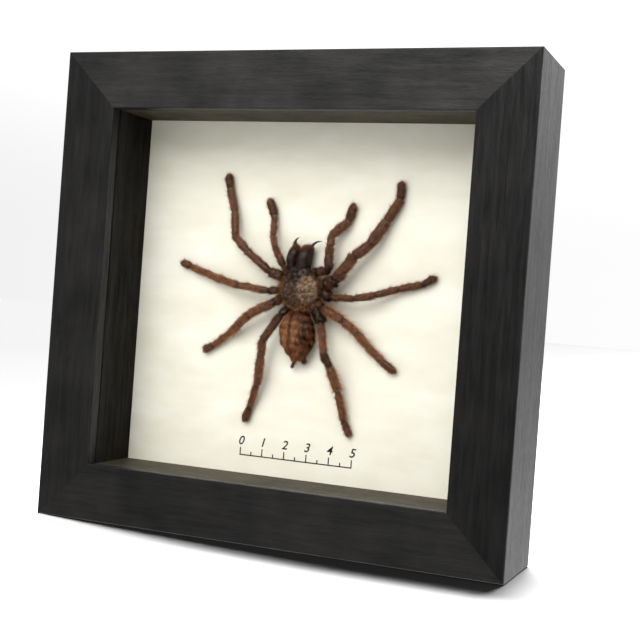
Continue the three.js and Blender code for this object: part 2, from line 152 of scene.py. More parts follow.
# The joints whose membrane is drawn out and bare, by the number of the segment beyond them.
PALE_JOINTS = {
    "leg_left_1": (5, 6),
    "leg_right_1": (5, 6),
    "leg_right_3": (6,),
    "palp_left": (5,),
    "palp_right": (5,),
}
SPINNERET_WIDTHS = [(0, 0.9), (0.2, 1), (0.8, 0.86), (1, 0.66)]
FANG_TAPER = [(0, 1), (0.3, 0.8), (0.7, 0.42), (1, 0.06)]
ABDOMEN_WIDTHS = [(0, 0.12), (0.03, 0.42), (0.1, 0.72), (0.25, 0.93), (0.45, 1), (0.62, 0.95), (0.78, 0.76),
                  (0.9, 0.52), (0.97, 0.32), (1, 0.1)]

# The skin's wrinkles, as it shrank: [size of a bump, depth].
WRINKLES = {
    "limb": [[3.2, 0.15], [1.3, 0.07]],
    "prosoma": [[1.6, 0.12], [0.7, 0.05]],
    "abdomen": [[4.0, 0.25], [1.5, 0.06]],
    "jaw": [[1.1, 0.08]],
}
# The furrows round the pit in the shield, the pit, and the groove behind the head.
FURROWS = {"count": 9, "depth": 0.22, "pit_depth": 0.5, "pit_radius": 1.2, "groove_depth": 0.35,
           "groove_from_pit": 6.0, "groove_width": 0.7}
# How dark a limb's coat is, of 1, on its first segments, its foot and in a ring at each joint.
LIMB_SHADES = {"hip": 0.55, "first": 0.5, "thigh": 0.35, "foot": 0.34, "ring": 0.5, "ring_width": 0.6}
# The abdomen's marks: how dark each is on the left and on the right, and how the bands lie.
MIDDLE_LINE = {"half_width": 0.09, "dark": 0.65}
BANDS = {"count": 6.3, "slant": 0.35, "start": 0.14, "left": 0.2, "right": 0.85}
FLANKS = {"left": 0.8, "right": 0.3}
# The eyes' two rows on their mound: how far over its middle, and each eye's place across.
EYE_ROWS = {0.35: (-0.8, -0.27, 0.27, 0.8), -0.4: (-0.75, -0.42, 0.42, 0.75)}

SCALE_BAR = {"x": 1.8, "z": -66.4, "length": 50, "small": 1.6, "large": 3.2, "line": 0.5, "digit": 5.2,
             "gap": 1.1}
DIGIT_BOLDNESS = 0.07  # how far each numeral's outline is moved out
DIGIT_SLANT = 0.25
PRINT_THICKNESS = 0.02

# ---------------------------------------------------------------------------
# Modelling helpers


def only(piece):
    """Makes this piece the one that operators act on."""
    bpy.ops.object.select_all(action="DESELECT")
    piece.select_set(True)
    bpy.context.view_layer.objects.active = piece
    return piece


def apply_modifier(piece, kind, **settings):
    only(piece)
    modifier = piece.modifiers.new(kind, kind)
    for key, value in settings.items():
        setattr(modifier, key, value)
    bpy.ops.object.modifier_apply(modifier=modifier.name)


def block(kind, place, scale, **settings):
    """A primitive, scaled at its place."""
    getattr(bpy.ops.mesh, f"primitive_{kind}_add")(location=place, **settings)
    piece = bpy.context.object
    piece.scale = scale
    bpy.ops.object.transform_apply(location=True, rotation=True, scale=True)
    return piece


def joined(pieces):
    for piece in pieces:
        piece.select_set(True)
    bpy.context.view_layer.objects.active = pieces[0]
    bpy.ops.object.join()
    return pieces[0]


def tidy_surface(piece):
    """Merges doubled points, turns every face outwards and shades it smooth."""
    only(piece)
    bpy.ops.object.mode_set(mode="EDIT")
    bpy.ops.mesh.select_all(action="SELECT")
    bpy.ops.mesh.remove_doubles(threshold=0.002 * MM)
    bpy.ops.mesh.normals_make_consistent(inside=False)
    bpy.ops.object.mode_set(mode="OBJECT")
    bpy.ops.object.shade_smooth()


def put_on(piece, material, slot, *nodes):
    """Gives a finished piece its material and its place in the object."""
    piece.data.materials.clear()
    piece.data.materials.append(material)
    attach(piece, "root")
    if nodes:
        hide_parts(*nodes)
    return piece


def on_card(x, z, height):
    """A place on or over the card, in metres."""
    return np.array([x, CARD_FACE - height, CARD_MIDDLE + z]) * MM


def x_and_z(places):
    """What on_card() was given for these places, in millimetres."""
    return places[:, 0] / MM, places[:, 2] / MM - CARD_MIDDLE


def points_of(mesh):
    places = np.empty(len(mesh.vertices) * 3)
    mesh.vertices.foreach_get("co", places)
    return places.reshape(-1, 3)


def set_points(mesh, places):
    mesh.vertices.foreach_set("co", places.ravel())
    mesh.update()


def normals_of(mesh):
    normals = np.empty(len(mesh.vertices) * 3)
    mesh.vertices.foreach_get("normal", normals)
    return normals.reshape(-1, 3)


def unit(vectors):
    return vectors / np.linalg.norm(vectors, axis=-1, keepdims=True).clip(1e-12)


def smooth_step(low, high, values):
    share = np.clip((values - low) / (high - low), 0, 1)
    return share * share * (3 - 2 * share)


def ripple(places, size, seed, waves=9):
    """A soft random field, about -1 to 1, whose bumps are size millimetres across."""
    rng = np.random.default_rng(seed)
    field = np.zeros(len(places))
    for _ in range(waves):
        direction = unit(rng.normal(size=3)) * rng.uniform(0.6, 1.4) * math.tau / (size * MM)
        field += np.sin(places @ direction + rng.uniform(0, math.tau))
    return field / math.sqrt(waves)


def move_out(piece, move):
    """Moves each point of the surface out by its own number of metres."""
    set_points(piece.data, points_of(piece.data) + normals_of(piece.data) * move[:, None])


def wrinkle(piece, kind, seed):
    for number, (size, depth) in enumerate(WRINKLES[kind]):
        move_out(piece, ripple(points_of(piece.data), size, seed + number) * depth * MM)


def coat_attribute(mesh, dark, gold=0, tone=0.5, along=0.3):
    """Stores what the coat's materials read: how dark and how golden it is, a random tone, and the
    place from root to tip."""
    every = np.zeros(len(mesh.vertices))
    colours = np.stack([every + part for part in (tone, along, dark, gold)], axis=-1).astype(np.float32)
    layer = mesh.color_attributes.new("coat", "FLOAT_COLOR", "POINT")
    layer.data.foreach_set("color", colours.ravel())


def tube(name, places, radii, sides=16):
    """A closed tube along a path, with its own radius at each place on it."""
    curve = bpy.data.curves.new(name, "CURVE")
    curve.dimensions = "3D"
    curve.fill_mode = "FULL"
    curve.bevel_depth = 1
    curve.bevel_resolution = sides // 2 - 2
    curve.use_fill_caps = True
    spline = curve.splines.new("POLY")
    spline.points.add(len(places) - 1)
    spline.points.foreach_set("co", np.c_[places, np.ones(len(places))].ravel())
    spline.points.foreach_set("radius", radii)
    piece = bpy.data.objects.new(name, curve)
    bpy.context.scene.collection.objects.link(piece)
    only(piece)
    bpy.ops.object.convert(target="MESH")
    tidy_surface(piece)
    return piece


def path_of(limb, widths_of, step=0.3, rounding=0.7, thinner=0.0):
    """Places, radii, segment numbers, shares and distances to the nearest joint along a limb."""
    hip, root, *segments = limb
    start = on_card(*root)
    stretches = [(on_card(*hip[:3]), start, hip[3])] if hip else []
    x, z, _ = root
    for length, bearing, height, radius in segments:
        x += length * math.cos(math.radians(bearing))
        z += length * math.sin(math.radians(bearing))
        end = on_card(x, z, height)
        stretches.append((start, end, radius))
        start = end
    rows = []
    count = len(stretches)
    for number, (start, end, radius) in enumerate(stretches):
        size = np.linalg.norm(end - start) / MM
        steps = max(4, round(size / step))
        last = number == count - 1
        shares = np.linspace(0, 1, steps + 1)[: None if last else -1]
        stops, widths = zip(*widths_of(number, count))
        for share in shares:
            width = np.interp(share, stops, widths)
            edge = share * size if number else size
            far = (1 - share) * size if not last else size
            rows.append((*(start + (end - start) * share), width * (radius - thinner) * MM, number,
                         share, min(edge, far)))
    rows = np.array(rows)
    places = rows[:, :3].copy()
    reach = max(1, round(rounding / step * 2))
    offsets = np.arange(-reach, reach + 1)
    weights = np.exp(-((offsets * step / rounding) ** 2))
    padded = np.pad(places, ((reach, reach), (0, 0)), mode="reflect", reflect_type="odd")
    for i in range(len(places)):
        places[i] = (padded[i : i + 2 * reach + 1] * weights[:, None]).sum(0) / weights.sum()
    along = unit(np.gradient(places, axis=0))
    return {"places": places, "radii": rows[:, 3], "segment": rows[:, 4].astype(int), "share": rows[:, 5],
            "joint": rows[:, 6], "along": along, "count": count}


def nearest_station(path, places):
    """For each place, the number of the nearest station on the path."""
    found = np.empty(len(places), int)
    for i in range(0, len(places), 4000):
        block = places[i : i + 4000]
        gap = ((block[:, None, :] - path["places"][None, :, :]) ** 2).sum(-1)
        found[i : i + 4000] = gap.argmin(1)
    return found


# ---------------------------------------------------------------------------
# Materials


def linear(hex_colour, alpha=1.0):
    """An sRGB hex colour as linear values."""
    channels = [int(hex_colour[i : i + 2], 16) / 255 for i in (1, 3, 5)]
    return (*[c / 12.92 if c <= 0.04045 else ((c + 0.055) / 1.055) ** 2.4 for c in channels], alpha)


def connect(material, node, inputs):
    """Sets a node's inputs to values, or feeds them from other nodes' outputs."""
    for key, value in inputs.items():
        socket = node.inputs[key]
        if isinstance(value, bpy.types.NodeSocket):
            material.node_tree.links.new(value, socket)
        else:
            socket.default_value = value


def add(material, kind, settings=None, inputs=None, output=0):
    """Adds a node and returns one of its outputs. Stops are the places and colours of a ramp."""
    node = material.node_tree.nodes.new(f"ShaderNode{kind}")
    for key, value in (settings or {}).items():
        if key == "stops":
            ramp = node.color_ramp
            while len(ramp.elements) < len(value):
                ramp.elements.new(0.5)
            for element, (place, colour) in zip(ramp.elements, value):
                element.position = place
                element.color = linear(colour)
        else:
            setattr(node, key, value)
    connect(material, node, inputs or {})
    return node.outputs[output]


def new_material(name, **surface):
    """A material with only a Principled surface, whose inputs are given with _ for each space."""
    material = bpy.data.materials.new(name)
    material.use_nodes = True
    set_surface(material, **surface)
    return material


def set_surface(material, **surface):
    shader = material.node_tree.nodes["Principled BSDF"]
    connect(material, shader, {key.replace("_", " "): value for key, value in surface.items()})


MIX_COLOURS = {"data_type": "RGBA"}
FACTOR, FIRST, SECOND, MIXED = 0, 6, 7, 2  # a Mix node's colour sockets


def stained_wood(name, grain_axis, dark, light, sheen_low, sheen_high):
    """Pine, planed, stained and waxed. The stain sinks into the soft early wood, so fine streaks
    run along the grain, some of them open pores that stay paler."""
    material = new_material(name, IOR=1.48)
    place = add(material, "TexCoord", output="Object")

    def along_grain(across_mm, along_mm, detail, distortion):
        size = [1 / (across_mm * MM)] * 3
        size[grain_axis] = 1 / (along_mm * MM)
        drawn_out = add(material, "Mapping", inputs={"Vector": place, "Scale": size})
        return add(material, "TexNoise", inputs={"Vector": drawn_out, "Scale": 1.0, "Detail": detail,
                                                 "Distortion": distortion})

    grain = along_grain(0.5, 3.5, 3, 0.5)
    streaks = along_grain(1.6, 22, 4, 0.4)
    growth = along_grain(8, 90, 3, 1.4)
    smudges = add(material, "TexNoise", inputs={"Vector": place, "Scale": 60.0, "Detail": 4.0})
    stain = add(material, "Math", {"operation": "MULTIPLY_ADD"}, {0: growth, 1: 0.25, 2: smudges})
    tone = add(material, "Math", {"operation": "MULTIPLY_ADD"}, {0: grain, 1: 0.6, 2: stain})
    tone = add(material, "Math", {"operation": "MULTIPLY"}, {0: tone, 1: 0.78})
    colour = add(material, "ValToRGB", {"stops": [(0.35, dark), (1.0, light)]}, {"Fac": tone})
    rough = add(material, "MapRange", inputs={"Value": grain, "From Min": 0.3, "From Max": 0.7,
                                              "To Min": sheen_high, "To Max": sheen_low})
    # The hard late wood stands out and shines more, which shows as streaks at a low angle.
    shine = add(material, "MapRange", inputs={"Value": streaks, "From Min": 0.33, "From Max": 0.67,
                                              "To Min": 0.15, "To Max": 0.41})
    depth = add(material, "Math", {"operation": "MULTIPLY_ADD"}, {0: growth, 1: 0.4, 2: grain})
    relief = add(material, "Bump", inputs={"Height": depth, "Strength": 0.4, "Distance": 0.0002})
    set_surface(material, Base_Color=colour, Roughness=rough, Specular_IOR_Level=shine, Normal=relief)
    return material


def mount_board():
    """Cotton mount board with a soft uncoated face: cream, with faint clouds from the pulp."""
    material = new_material("cotton_mount_board", Roughness=0.92, IOR=1.45, Specular_IOR_Level=0.25)
    place = add(material, "TexCoord", output="Object")
    # The clouds are about 12 mm high and drawn out along the sheet.
    stretched = add(material, "Mapping", inputs={"Vector": place, "Scale": (38.0, 38.0, 85.0)})
    clouds = add(material, "TexNoise", inputs={"Vector": stretched, "Scale": 1.0, "Detail": 5.0,
                                               "Roughness": 0.6})
    colour = add(material, "ValToRGB", {"stops": [(0.28, "#e9e4d1"), (0.68, "#f8f3e7")]}, {"Fac": clouds})
    # Pulp fibres are 0.3 mm long, and drawn longer here to stay clear of the pixels.
    fibres = add(material, "TexNoise", inputs={"Vector": place, "Scale": 900.0, "Detail": 4.0})
    relief = add(material, "Bump", inputs={"Height": fibres, "Strength": 0.06, "Distance": 0.00005})
    set_surface(material, Base_Color=colour, Normal=relief)
    return material


def hardboard():
    """Pressed hardboard: brown wood fibre, smooth from the platen, with darker flecks."""
    material = new_material("pressed_hardboard", Roughness=0.7, IOR=1.5)
    place = add(material, "TexCoord", output="Object")
    clouds = add(material, "TexNoise", inputs={"Vector": place, "Scale": 60.0, "Detail": 6.0})
    flecks = add(material, "TexNoise", inputs={"Vector": place, "Scale": 1400.0, "Detail": 3.0,
                                               "Roughness": 0.7})
    tone = add(material, "Math", {"operation": "MULTIPLY_ADD"}, {0: flecks, 1: 0.8, 2: clouds})
    colour = add(material, "ValToRGB", {"stops": [(0.6, "#7a583b"), (1.0, "#926d49")]}, {"Fac": tone})
    relief = add(material, "Bump", inputs={"Height": flecks, "Strength": 0.3, "Distance": 0.0001})
    set_surface(material, Base_Color=colour, Normal=relief)
    return material


def plated_metal(name, dark, light, roughness):
    """Plated sheet steel: bright, with the faint clouding and rub marks of handling."""
    material = new_material(name, Metallic=1.0)
    place = add(material, "TexCoord", output="Object")
    clouds = add(material, "TexNoise", inputs={"Vector": place, "Scale": 350.0, "Detail": 4.0})
    colour = add(material, "ValToRGB", {"stops": [(0.35, dark), (0.65, light)]}, {"Fac": clouds})
    rough = add(material, "MapRange", inputs={"Value": clouds, "To Min": roughness - 0.08,
                                              "To Max": roughness + 0.12})
    set_surface(material, Base_Color=colour, Roughness=rough)
    return material


def cuticle(name, dark, light, membrane, roughness, relief_mm=0.05):
    """Dried exoskeleton: thin tanned skin with a low waxy shine, finely wrinkled, that turns dark
    where it is doubled at the joints, in its own dark marks and in painted shade, and pale on the bare
    joint membrane."""
    material = new_material(name, IOR=1.55)
    place = add(material, "TexCoord", output="Object")
    coat = add(material, "Attribute", {"attribute_name": "coat"}, output="Color")
    parts = material.node_tree.nodes.new("ShaderNodeSeparateColor")
    connect(material, parts, {"Color": coat})
    folds = add(material, "Attribute", {"attribute_name": "fold"}, output="Fac")
    mottle = add(material, "TexNoise", inputs={"Vector": place, "Scale": 900.0, "Detail": 4.0})
    base = add(material, "ValToRGB", {"stops": [(0.35, dark), (0.7, light)]}, {"Fac": mottle})
    shaded = add(material, "Mix", MIX_COLOURS, {FACTOR: parts.outputs["Blue"], FIRST: base,
                                                SECOND: linear("#0f0908")}, MIXED)
    bare = add(material, "Mix", MIX_COLOURS, {FACTOR: folds, FIRST: shaded, SECOND: linear(membrane)},
               MIXED)
    wrinkles = add(material, "TexNoise", inputs={"Vector": place, "Scale": 2600.0, "Detail": 3.0,
                                                 "Distortion": 0.8})
    relief = add(material, "Bump", inputs={"Height": wrinkles, "Strength": 0.5, "Distance": relief_mm * MM})
    rough = add(material, "MapRange", inputs={"Value": mottle, "To Min": roughness - 0.12,
                                              "To Max": roughness + 0.12})
    set_surface(material, Base_Color=bare, Roughness=rough, Normal=relief)
    return material


def hair_coat(name, dark, middle, tip, gold):
    """Setae: stiff hairs of the same tanned stuff as the skin, dark at the root and paler and
    golden towards the tip, with a low silky shine."""
    material = new_material(name, IOR=1.55, Roughness=0.5, Specular_IOR_Level=0.22)
    coat = add(material, "Attribute", {"attribute_name": "coat"}, output="Color")
    alpha = material.node_tree.nodes["Attribute"].outputs["Alpha"]
    parts = material.node_tree.nodes.new("ShaderNodeSeparateColor")
    connect(material, parts, {"Color": coat})
    base = add(material, "ValToRGB", {"stops": [(0.0, dark), (0.9, middle)]}, {"Fac": parts.outputs["Red"]})
    faded = add(material, "Math", {"operation": "MULTIPLY"}, {0: parts.outputs["Green"], 1: 0.6})
    tipped = add(material, "Mix", MIX_COLOURS, {FACTOR: faded, FIRST: base, SECOND: linear(tip)}, MIXED)
    golden = add(material, "Mix", MIX_COLOURS, {FACTOR: alpha, FIRST: tipped, SECOND: linear(gold)}, MIXED)
    shaded = add(material, "Mix", MIX_COLOURS, {FACTOR: parts.outputs["Blue"], FIRST: golden,
                                                SECOND: linear("#1a100c")}, MIXED)
    set_surface(material, Base_Color=shaded)
    return material


def carapace_skin():
    """The shield of the front body: grey-black skin with radiating furrows, rubbed bare to tan
    on one side, where the dried skin has cracked."""
    material = cuticle("dried_carapace", "#1d1715", "#4b3d33", "#8a7a62", 0.5, 0.08)
    place = add(material, "TexCoord", output="Object")
    centre = on_card(BALD_PATCH["x"], BALD_PATCH["z"], 0)
    size = (1 / (BALD_PATCH["half_width"] * MM), 0.0, 1 / (BALD_PATCH["half_length"] * MM))
    shift = (-centre[0] * size[0], 0.0, -centre[2] * size[2])
    oval = add(material, "Mapping", inputs={"Vector": place, "Scale": size, "Location": shift})
    reach = add(material, "VectorMath", {"operation": "LENGTH"}, {0: oval}, "Value")
    edge = add(material, "TexNoise", inputs={"Vector": place, "Scale": 520.0, "Detail": 3.0})
    ragged = add(material, "Math", {"operation": "MULTIPLY_ADD"}, {0: edge, 1: 0.9, 2: reach})
    patch = add(material, "MapRange", inputs={"Value": ragged, "From Min": 1.6, "From Max": 1.36})
    tan = add(material, "TexNoise", inputs={"Vector": place, "Scale": 420.0, "Detail": 4.0,
                                            "Roughness": 0.6})
    tan_colour = add(material, "ValToRGB", {"stops": [(0.36, "#3e2d20"), (0.66, "#856445")]}, {"Fac": tan})
    # Scraps of the dark outer layer are left on the bare skin, each about a millimetre across.
    left_over = add(material, "TexNoise", inputs={"Vector": place, "Scale": 380.0, "Detail": 2.0,
                                                  "Distortion": 1.6})
    scraps = add(material, "MapRange", inputs={"Value": left_over, "From Min": 0.6, "From Max": 0.65,
                                               "To Max": 0.9})
    worn = add(material, "Mix", MIX_COLOURS, {FACTOR: scraps, FIRST: tan_colour,
                                              SECOND: linear("#2e1c13")}, MIXED)
    shader = material.node_tree.nodes["Principled BSDF"]
    skin = shader.inputs["Base Color"].links[0].from_socket
    colour = add(material, "Mix", MIX_COLOURS, {FACTOR: patch, FIRST: skin, SECOND: worn}, MIXED)
    set_surface(material, Base_Color=colour)
    return material


# The four rails are one black stain in four painted tones, as painted light and shade: the top rail
# lighter, as if lit from above, and the bottom, left and right rails darker in turn, the right one darkest.
black_wood_top_painted_light = stained_wood("black_stained_pine_top_painted_light", 0, "#121212", "#333231", 0.38, 0.52)
black_wood_bottom_painted_shade = stained_wood("black_stained_pine_bottom_painted_shade", 0, "#0b0b0b", "#232221", 0.38, 0.52)
black_wood_left_painted_shade = stained_wood("black_stained_pine_left_painted_shade", 2, "#0a0a0a", "#222120", 0.38, 0.52)
black_wood_right_painted_shade = stained_wood("black_stained_pine_right_painted_shade", 2, "#070707", "#191817", 0.38, 0.52)
# The fillets are one brown stain in two painted tones: those across are a lighter brown, as painted light
# from the lamps above, and the upright ones near-black, as painted shade on the side walls.
brown_wood_across_painted_light = stained_wood("brown_stained_fillet_across_painted_light", 0, "#1d1a16", "#57503f", 0.55, 0.75)
brown_wood_upright_painted_shade = stained_wood("brown_stained_fillet_upright_painted_shade", 2, "#080706", "#1c1a16", 0.75, 0.9)
# Float glass, 2 mm: clear, with no bend in what is seen through it.
float_glass = new_material("float_glass", Base_Color=linear("#fbfefc"), Roughness=0.0, IOR=1.5,
                           Transmission_Weight=1.0)
cream_board = mount_board()
brown_board = hardboard()
zinc_steel = plated_metal("zinc_plated_steel", "#a6a9ab", "#babdbf", 0.32)
brass_steel = plated_metal("brass_plated_steel", "#b3934f", "#c6a661", 0.3)
leg_skin = cuticle("dried_leg_cuticle", "#2b1911", "#5a3a26", "#c9b79a", 0.5)
head_skin = carapace_skin()
jaw_skin = cuticle("dried_jaw_cuticle", "#1a1515", "#352b2a", "#5a2a1c", 0.5)
abdomen_skin = cuticle("dried_abdomen_skin", "#3a2217", "#6e4630", "#8d6b4a", 0.55)
leg_hair = hair_coat("leg_setae", "#301d15", "#a8694b", "#cc9674", "#dd9666")
body_hair = hair_coat("carapace_setae", "#241c17", "#70523d", "#b28a64", "#d08a5c")
abdomen_hair = hair_coat("abdomen_setae", "#45281c", "#9d5f42", "#bc7b58", "#e0a272")
jaw_hair = hair_coat("jaw_setae", "#201817", "#47332d", "#7c4f3a", "#bd7048")
# Fang and eye: hard black horn, polished by wear.
black_horn = new_material("black_horn", Base_Color=linear("#0a0707"), Roughness=0.16, IOR=1.56)
# Printing ink: matt, dark brown-black, sunk into the board.
ink = new_material("printing_ink", Base_Color=linear("#1c1916"), Roughness=0.85, IOR=1.45)

FRAME_FINISHES = {
    "rail_top": black_wood_top_painted_light,
    "rail_bottom": black_wood_bottom_painted_shade,
    "rail_left": black_wood_left_painted_shade,
    "rail_right": black_wood_right_painted_shade,
    "spacer_top": brown_wood_across_painted_light,
    "spacer_bottom": brown_wood_across_painted_light,
    "spacer_left": brown_wood_upright_painted_shade,
    "spacer_right": brown_wood_upright_painted_shade,
    "glass_pane": float_glass,
    "mount_card": cream_board,
    "back_board": brown_board,
    "hanger_plate": brass_steel,
    "hanger_nail_left": zinc_steel,
    "hanger_nail_right": zinc_steel,
}
for node_name, node_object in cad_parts.items():
    finish = zinc_steel if node_name.startswith("tab_") else FRAME_FINISHES.get(node_name)
    if finish:
        node_object.data.materials.clear()
        node_object.data.materials.append(finish)

# The lamps shine through the pane as through real glass, which a path tracer can't do by itself.
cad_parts["glass_pane"].visible_shadow = False
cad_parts["glass_pane"].visible_diffuse = False

# ---------------------------------------------------------------------------
# Scale bar, printed on the card under the spider


def printed(piece, name):
    """A flat outline as a thin film of ink on the card."""
    only(piece)
    piece.name = name
    bpy.ops.object.convert(target="MESH")
    bpy.ops.object.transform_apply(location=True, rotation=True, scale=True)
    tidy_surface(piece)
    bpy.ops.object.shade_flat()
    return put_on(piece, ink, "cream_card")


def scale_bar():
    """A ruled line with a mark every five millimetres, and plain numerals over the tens."""
    bar = SCALE_BAR
    left = bar["x"] - bar["length"] / 2
    strokes = []
    for step in range(0, bar["length"] + 1, 5):
        height = bar["large"] if step % 10 == 0 else bar["small"]
        strokes.append((left + step, bar["z"] + height / 2, bar["line"], height))
    strokes.append((bar["x"], bar["z"], bar["length"] + bar["line"], bar["line"]))
    marks = [block("cube", on_card(x, z, PRINT_THICKNESS), Vector((width, PRINT_THICKNESS, height)) * MM,
                   size=1) for x, z, width, height in strokes]
    printed(joined(marks), "scale_bar_marks")
    for step in range(0, bar["length"] + 1, 10):
        place = on_card(left + step, bar["z"] + bar["large"] + bar["gap"], PRINT_THICKNESS / 2)
        bpy.ops.object.text_add(location=place, rotation=(math.pi / 2, 0, 0))
        digit = bpy.context.object
        digit.data.body = str(step // 10)
        digit.data.align_x = "CENTER"
        digit.data.size = bar["digit"] * MM
        digit.data.shear = DIGIT_SLANT
        digit.data.offset = DIGIT_BOLDNESS * MM
        digit.data.extrude = PRINT_THICKNESS / 2 * MM
        printed(digit, f"scale_bar_numeral_{step // 10}")


scale_bar()

# ---------------------------------------------------------------------------
# Spider: skins


def limb_widths(number, count):
    if number == 0:
        return HIP_WIDTHS
    return TARSUS_WIDTHS if number == count - 1 else SEGMENT_WIDTHS


def limb_shade(path, station):
    """How dark the coat is along a limb: the hip and foot are darkest, and each joint has a ring."""
    segment = path["segment"][station]
    thigh = LIMB_SHADES["thigh"] * (1 - smooth_step(0, 0.6, path["share"][station]))
    shade = np.choose(np.minimum(segment, 3), [LIMB_SHADES["hip"], LIMB_SHADES["first"], thigh, 0])
    foot = np.where(segment == path["count"] - 1, LIMB_SHADES["foot"], 0)
    extra = np.array([path["dark"].get(number, 0) for number in range(path["count"])])[segment]
    ring = LIMB_SHADES["ring"] * np.exp(-((path["joint"][station] / LIMB_SHADES["ring_width"]) ** 2))
    return np.clip(shade + foot + extra + ring, 0, 0.9)


def limb_skin(name, limb, seed):
    """A jointed tube, narrow at each joint, creased as it dried."""
    path = path_of(limb, limb_widths, thinner=0.05)
    path["dark"] = DARK_SEGMENTS.get(name, {})
    skin = tube(f"{name}_skin", path["places"], path["radii"])
    apply_modifier(skin, "SUBSURF", levels=1, render_levels=1)
    wrinkle(skin, "limb", seed)
    station = nearest_station(path, points_of(skin.data))
    coat_attribute(skin.data, limb_shade(path, station))
    beyond = path["segment"][station] + (path["share"][station] > 0.5)
    bare = 0.5 * np.exp(-((path["joint"][station] / 0.3) ** 2)) * np.isin(beyond, PALE_JOINTS.get(name, ()))
    fold = skin.data.attributes.new("fold", "FLOAT", "POINT")
    fold.data.foreach_set("value", bare.astype(np.float32))
    put_on(skin, leg_skin, "cuticle", name)
    return skin, path


def horn(name, limb, widths, material, slot, taper_whole):
    """A short limb without joints: a spinneret or a fang."""
    if taper_whole:
        path = path_of(limb, lambda number, count: [(0, 1), (1, 1)], step=0.12, rounding=0.5)
        stops, sizes = zip(*widths)
        path["radii"] *= np.interp(np.linspace(0, 1, len(path["radii"])), stops, sizes)
    else:
        path = path_of(limb, lambda number, count: widths, step=0.15, rounding=0.25)
    # It has neither the dark hip nor the dark foot of a limb.
    path["dark"] = {0: -0.3, 1: -0.55}
    piece = tube(name + "_shape", path["places"], path["radii"], sides=12)
    apply_modifier(piece, "SUBSURF", levels=1, render_levels=1)
    coat_attribute(piece.data, 0.35)
    put_on(piece, material, slot, name)
    return piece, path


def ball(part, segments, rings):
    """A ball drawn out to a part's width, thickness and length."""
    size = Vector((part["half_width"], part["half_thickness"], part["half_length"])) * MM
    place = on_card(part["x"], part["z"], part["height"])
    return block("uv_sphere", place, size, segments=segments, ring_count=rings, radius=1)


def carapace_furrows(piece):
    """Furrows run out from the pit in the middle of the shield to its rim, and set off the head."""
    x, z = x_and_z(points_of(piece.data))
    reach = np.hypot(x - FOVEA[0], z - FOVEA[1])
    angle = np.arctan2(z - FOVEA[1], x - FOVEA[0])
    radial = np.cos(angle * FURROWS["count"] + 0.6 * np.sin(reach * 0.9))
    furrow = FURROWS["depth"] * smooth_step(0.5, 1, radial) * smooth_step(1, 3.5, reach)
    pit = FURROWS["pit_depth"] * np.exp(-((reach / FURROWS["pit_radius"]) ** 2))
    across = (reach - FURROWS["groove_from_pit"]) / FURROWS["groove_width"]
    groove = FURROWS["groove_depth"] * np.exp(-(across**2)) * smooth_step(0.1, 0.7, np.sin(angle))
    top = normals_of(piece.data)[:, 1] < 0
    move_out(piece, -(furrow + pit + groove) * top * MM)


def prosoma():
    """The shield, the head, the waist and the eyes' mound, grown into one skin."""
    pedicel = {
        "x": PEDICEL["x"],
        "z": (PEDICEL["top"] + PEDICEL["bottom"]) / 2,
        "height": PEDICEL["height"],
        "half_width": PEDICEL["radius"],
        "half_length": (PEDICEL["top"] - PEDICEL["bottom"]) / 2,
        "half_thickness": PEDICEL["radius"],
    }
    tubercle = {"x": EYES["x"], "z": EYES["z"], "height": EYES["height"] - 0.5, "half_width": 1.1,
                "half_length": 0.8, "half_thickness": 0.8}
    piece = joined([ball(part, 48, 24) for part in (CARAPACE, HEAD, pedicel, tubercle)])
    piece.name = "prosoma_skin"
    apply_modifier(piece, "REMESH", mode="VOXEL", voxel_size=0.22 * MM)
    apply_modifier(piece, "SMOOTH", factor=0.5, iterations=8)
    bpy.ops.object.shade_smooth()
    carapace_furrows(piece)
    wrinkle(piece, "prosoma", 31)
    places = points_of(piece.data)
    # The skin is dark on the head, its own colour, and darker low down towards the card, which is painted
    # shade under the shield's rim.
    rim = smooth_step(5.5, 3.5, CARD_FACE - places[:, 1] / MM)
    head = smooth_step(6, 9, x_and_z(places)[1])
    coat_attribute(piece.data, np.clip(0.35 * head + 0.4 * rim, 0, 0.8))
    return put_on(piece, head_skin, "dark_cuticle", "prosoma")


def abdomen_marks(places):
    """How dark and how golden the abdomen is at each place: a dark line down the middle, golden
    fields beside it, and dark bands across, broken at the line and strongest on the right."""
    x, z = x_and_z(places)
    wobble = 0.05 * ripple(places, 3.0, 71)
    u = (x - ABDOMEN["x"] + 1.0) / ABDOMEN["radius"] + wobble * 0.8
    v = (ABDOMEN["top"] - z) / ABDOMEN["length"] + wobble * 0.35
    side = np.abs(u)
    line = np.exp(-((u / MIDDLE_LINE["half_width"]) ** 2)) * smooth_step(0.02, 0.1, v)
    line *= smooth_step(0.95, 0.7, v)
    turns = v * BANDS["count"] - BANDS["slant"] * side + BANDS["start"]
    bands = smooth_step(-0.6, 0.7, np.cos(turns * math.tau)) * (0.75 + 0.25 * ripple(places, 4.0, 72))
    strength = smooth_step(0.25, 0.5, side) * np.where(u > 0, BANDS["right"], BANDS["left"])
    strength *= smooth_step(1.2, 0.2, v)
    flank = smooth_step(0.45, 0.9, side) * np.where(u > 0, FLANKS["right"], FLANKS["left"])
    # Darker towards the front end: painted shade at the waist, where the two halves of the body meet.
    ends = smooth_step(0.12, 0.0, v)
    # The fur lies in locks along the body, about 1 mm across and several long.
    lock = ripple(places * (1, 1, 0.15), 1.1, 73) + 0.6 * ripple(places * (1, 1, 0.3), 0.6, 74)
    dark = MIDDLE_LINE["dark"] * line + 1.1 * bands * strength + flank + 0.8 * ends + 0.1 * lock
    field = np.exp(-(((side - 0.28) / 0.3) ** 2)) * smooth_step(0.05, 0.25, v) * smooth_step(1.0, 0.5, v)
    gold = field * (0.9 - 0.6 * bands) - 0.15 * lock
    return np.clip(dark, 0, 0.94), np.clip(gold, 0, 1)


